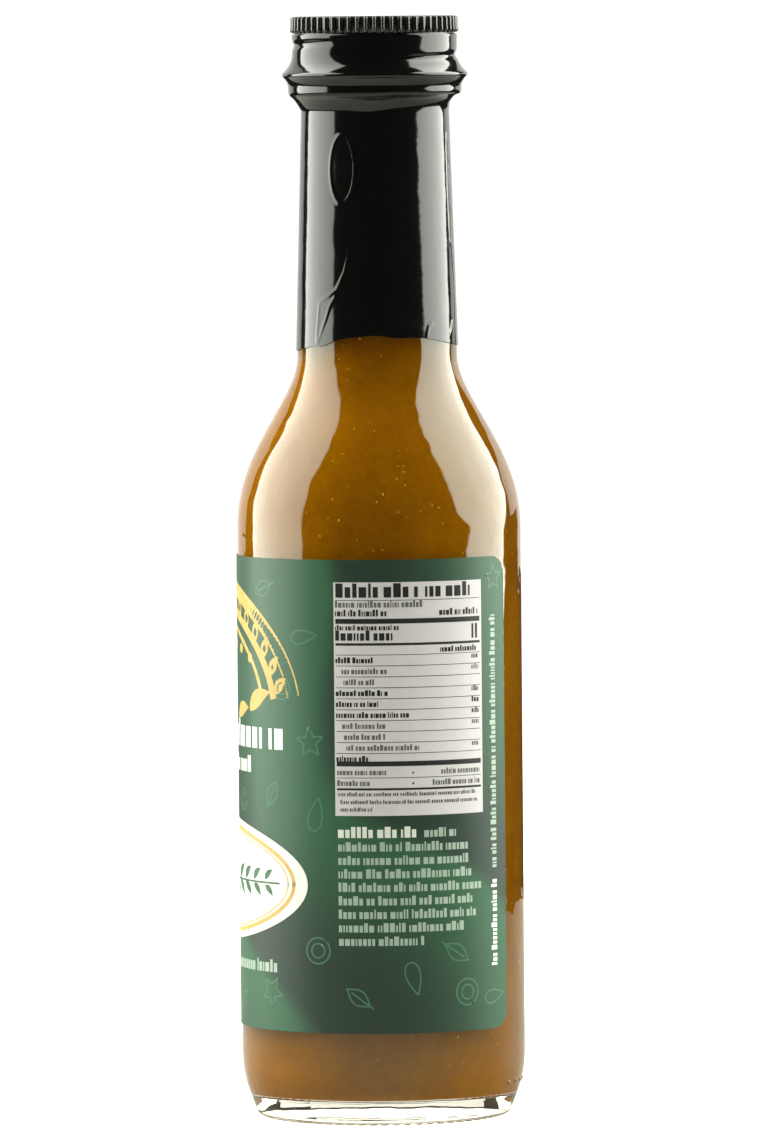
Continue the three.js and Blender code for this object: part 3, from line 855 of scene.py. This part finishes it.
base = reckon(tree, "SUBTRACT", size["Radius"], size["Sink"])
radius = reckon(tree, "SUBTRACT", base, place.outputs["Y"])
angle = reckon(tree, "DIVIDE", place.outputs["X"], size["Radius"])
sine = reckon(tree, "SINE", angle)
cosine = reckon(tree, "COSINE", angle)
x = reckon(tree, "MULTIPLY", radius, sine)
y = reckon(tree, "MULTIPLY", radius, cosine)
minus_y = reckon(tree, "MULTIPLY", y, -1.0)
round_body = add(tree, "ShaderNodeCombineXYZ", {
    "X": x, "Y": minus_y, "Z": place.outputs["Z"]})
wrapped = add(tree, "GeometryNodeSetPosition", {
    "Geometry": closed.outputs[0], "Position": round_body.outputs[0]})
hand_out(tree, wrapped.outputs[0], size["Material"])
wrap_print = tree

# Ink, its thinnest and fullest colour, and how far it stands on the paper in millimetres
INK_COLOURS = {"motif_green": ("#3F6B50", "#48795B", 0.008), "panel_white": ("#C9C4C6", "#D2CDCE", 0.012),
               "panel_black": ("#1C1C1C", "#2A2A29", 0.022), "panel_grey": ("#5A5A58", "#6C6C69", 0.022),
               "text_pale": ("#98AC9C", "#A9BAAB", 0.012), "text_cream": ("#D9DDD2", "#E4E7DE", 0.012),
               "gold": ("#B98A3A", "#D9BE72", 0.012), "medallion_cream": ("#DEDED6", "#E8E8E0", 0.012),
               "medallion_gold": ("#B98A3A", "#D9BE72", 0.022),
               "medallion_green": ("#35583F", "#44704F", 0.022),
               "medallion_coral": ("#B9553A", "#CC6B4A", 0.022)}
for ink, marks in inks.items():
    thin, full, lift = INK_COLOURS[ink]
    # Offset ink under satin varnish: it takes a little unevenly on the paper's fibre, and shares its sheen.
    printed, tree, coords, output = new_material(ink + "_ink")
    take = mottle(tree, coords.outputs["Object"], 1.5, detail=3.0)
    colour = add(tree, "ShaderNodeMix", {
        0: take, 6: linear(thin), 7: linear(full)}, data_type="RGBA")
    gloss = add(tree, "ShaderNodeMapRange", {"Value": take, "To Min": 0.34, "To Max": 0.44})
    body = add(tree, "ShaderNodeBsdfPrincipled", {
        "Base Color": colour.outputs[2], "Roughness": gloss.outputs[0], "IOR": 1.45,
        "Specular IOR Level": 0.45})
    tree.links.new(body.outputs[0], output.inputs["Surface"])
    corners, quads = [], []
    for right_side, left_side in marks:
        first = len(corners)
        corners += [(u * MM, 0, v * MM) for pair in zip(right_side, left_side) for u, v in pair]
        quads += [[first + 2 * i, first + 2 * i + 2, first + 2 * i + 3, first + 2 * i + 1]
                  for i in range(len(right_side) - 1)]
    flat = bpy.data.meshes.new("print_" + ink)
    flat.from_pydata(corners, [], quads)
    layer = grow(new_piece("print_" + ink, flat), wrap_print, {
        "Radius": LABEL_RADIUS * MM, "Sink": INK_SINK * MM, "Lift": lift * MM, "Material": printed})
    layer.data.set_sharp_from_angle(angle=math.radians(38))
    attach(layer, "root")

# Stage: a white table between two tall soft boxes that lean over the bottle and fade from side to side.
# A large white card and a small one stand behind it.
# The room in front is dark, so the black film stays black between its two long reflections.
LEFT_BOX_LIGHT = 7.2
RIGHT_BOX_LIGHT = 7.8
BACK_CARD_LIGHT = 1.1
SIDE_CARD_LIGHT = 1.3
LIGHT_TINT = "#FCFFF5"
CORNER_CUT = 0.18
BOX_BLUR = 0.03
CARD_BLUR = 0.002
TABLE_RADIUS = 0.43
TABLE_GLOW = 0.8
FLOOR_RADIUS = 6.0
FLOOR_WHITE = "#E4E4E0"
TABLE_WHITE = "#DCDCD4"
ROOM_LIGHT = 0.02
BACKDROP_LIGHT = 1.1
floor_white, tree, coords, output = new_material("white_floor")
path = add(tree, "ShaderNodeLightPath")
reach = add(tree, "ShaderNodeVectorMath", {0: coords.outputs["Object"]}, operation="LENGTH")
# The floor glows to the camera alone, and glows less close to the bottle: a painted contact shadow round its
# foot, on top of the shadow the lamps cast.
glow = add(tree, "ShaderNodeMapRange", {
    "Value": reach.outputs["Value"], "From Min": 0.02, "From Max": 0.25, "To Min": 0.72, "To Max": 1.1})
seen = reckon(tree, "MULTIPLY", glow.outputs[0], path.outputs["Is Camera Ray"])
lit = add(tree, "ShaderNodeBsdfDiffuse", {"Color": linear(FLOOR_WHITE)})
bright = add(tree, "ShaderNodeEmission", {"Strength": seen})
both = add(tree, "ShaderNodeAddShader", {0: lit.outputs[0], 1: bright.outputs[0]})
tree.links.new(both.outputs[0], output.inputs["Surface"])
table_white, tree, coords, output = new_material("white_table")
path = add(tree, "ShaderNodeLightPath")
# The table glows only to rays that come through the glass: painted light, with no lamp behind it, that
# brightens the clear foot and the sauce above it.
glow_through_glass = reckon(tree, "MULTIPLY", path.outputs["Is Transmission Ray"], TABLE_GLOW)
lit = add(tree, "ShaderNodeBsdfDiffuse", {"Color": linear(TABLE_WHITE)})
bright = add(tree, "ShaderNodeEmission", {"Strength": glow_through_glass})
both = add(tree, "ShaderNodeAddShader", {0: lit.outputs[0], 1: bright.outputs[0]})
tree.links.new(both.outputs[0], output.inputs["Surface"])


def stage_disc(name, radius, height, material):
    """A flat disc of the stage, in metres."""
    mesh = bpy.data.meshes.new(name)
    mesh.from_pydata(ring_points(radius, height, around(96)).tolist(), [], [list(range(96))])
    disc = new_piece(name, mesh, material)
    return disc


floor = stage_disc("floor", FLOOR_RADIUS, -0.00005, floor_white)
floor.visible_glossy = False
floor.visible_transmission = False
floor.visible_shadow = False
table = stage_disc("table_top", TABLE_RADIUS, -0.0001, table_white)
table.visible_camera = False
table.visible_diffuse = False


def soft_box(name, centre, width, height, lean, turn, radiance, start=1.0, end=1.0, cut=0.0, blur=CARD_BLUR):
    """A light that faces the bottle, turned about +Z and leaning over it.

    It fades from start to end across its width, and its corners can be cut off and its edges blurred.
    """
    light = bpy.data.lights.new(name, "AREA")
    light.shape = "RECTANGLE"
    light.size, light.size_y = width, height
    light.energy = radiance * math.pi * width * height
    light.use_nodes = True
    tree = light.node_tree
    tree.nodes.clear()
    place = add(tree, "ShaderNodeSeparateXYZ", {0: add(tree, "ShaderNodeNewGeometry").outputs["Parametric"]})
    fade = add(tree, "ShaderNodeMapRange", {
        "Value": place.outputs["X"], "From Min": 0.0, "From Max": 1.0, "To Min": start, "To Max": end})
    inside_edge = []
    for axis, length in (("X", width), ("Y", height)):
        offset = reckon(tree, "SUBTRACT", place.outputs[axis], 0.5)
        middle = reckon(tree, "ABSOLUTE", offset)
        inside_edge.append(reckon(tree, "MULTIPLY_ADD", middle, -length, length / 2))
    corner = reckon(tree, "ADD", inside_edge[0], inside_edge[1])
    inside_corner = reckon(tree, "SUBTRACT", corner, cut)
    sides = reckon(tree, "MINIMUM", inside_edge[0], inside_edge[1])
    nearest = reckon(tree, "MINIMUM", sides, inside_corner)
    edge = add(tree, "ShaderNodeMapRange", {
        "Value": nearest, "From Min": 0.0, "From Max": blur}, interpolation_type="SMOOTHSTEP")
    strength = reckon(tree, "MULTIPLY", fade.outputs[0], edge.outputs[0])
    glow = add(tree, "ShaderNodeEmission", {"Color": linear(LIGHT_TINT), "Strength": strength})
    add(tree, "ShaderNodeOutputLight", {0: glow.outputs[0]})
    box = bpy.data.objects.new(name, light)
    box.matrix_world = (Matrix.Translation(centre) @ Matrix.Rotation(math.radians(turn), 4, "Z")
                        @ Matrix.Rotation(math.radians(90 - lean), 4, "X"))
    box.visible_camera = False
    bpy.context.scene.collection.objects.link(box)
    return box


soft_box("left_soft_box", (-0.50, 0.065, 0.46), width=0.69, height=0.95, lean=14, turn=-90,
         radiance=LEFT_BOX_LIGHT, start=1.12, end=0.58, blur=BOX_BLUR)
soft_box("right_soft_box", (0.52, 0.12, 0.48), width=0.79, height=0.95, lean=12, turn=90,
         radiance=RIGHT_BOX_LIGHT, start=0.68, end=1.1, cut=CORNER_CUT, blur=BOX_BLUR)
soft_box("back_card", (-0.18, 0.9, 0.63), width=1.26, height=1.18, lean=0, turn=180,
         radiance=BACK_CARD_LIGHT)
soft_box("side_back_card", (0.675, 0.9, 0.24), width=0.45, height=0.28, lean=0, turn=180,
         radiance=SIDE_CARD_LIGHT)

world = bpy.data.worlds.new("studio")
world.use_nodes = True
tree = world.node_tree
tree.nodes.clear()
path = add(tree, "ShaderNodeLightPath")
room = add(tree, "ShaderNodeBackground", {"Color": linear("#FFFFFF"), "Strength": ROOM_LIGHT})
backdrop = add(tree, "ShaderNodeBackground", {"Color": linear("#FFFFFF"), "Strength": BACKDROP_LIGHT})
seen = add(tree, "ShaderNodeMixShader", {
    0: path.outputs["Is Camera Ray"], 1: room.outputs[0], 2: backdrop.outputs[0]})
add(tree, "ShaderNodeOutputWorld", {"Surface": seen.outputs[0]})
bpy.context.scene.world = world
bpy.context.scene.view_settings.view_transform = "Standard"

# Camera: at the height of the cap, looking slightly down at the bottle through a long lens.
PHOTO_HEIGHT = 1144
PIXELS_PER_METRE = 6160
CAMERA_DISTANCE = 1.70
CAMERA_HEIGHT = 0.178
AIM = Vector((0.0001, 0, 0.08824))
ROLL = math.radians(0.55)
camera_data = bpy.data.cameras.new("camera")
camera_data.sensor_width = 36
camera_data.clip_start = 0.05
camera = bpy.data.objects.new("camera", camera_data)
bpy.context.scene.collection.objects.link(camera)
eye = Vector((0, -CAMERA_DISTANCE, CAMERA_HEIGHT))
camera_data.lens = camera_data.sensor_width * PIXELS_PER_METRE * (AIM - eye).length / PHOTO_HEIGHT
camera.matrix_world = (Matrix.Translation(eye) @ (AIM - eye).to_track_quat("-Z", "Y").to_matrix().to_4x4()
                       @ Matrix.Rotation(-ROLL, 4, "Z"))
bpy.context.scene.camera = camera
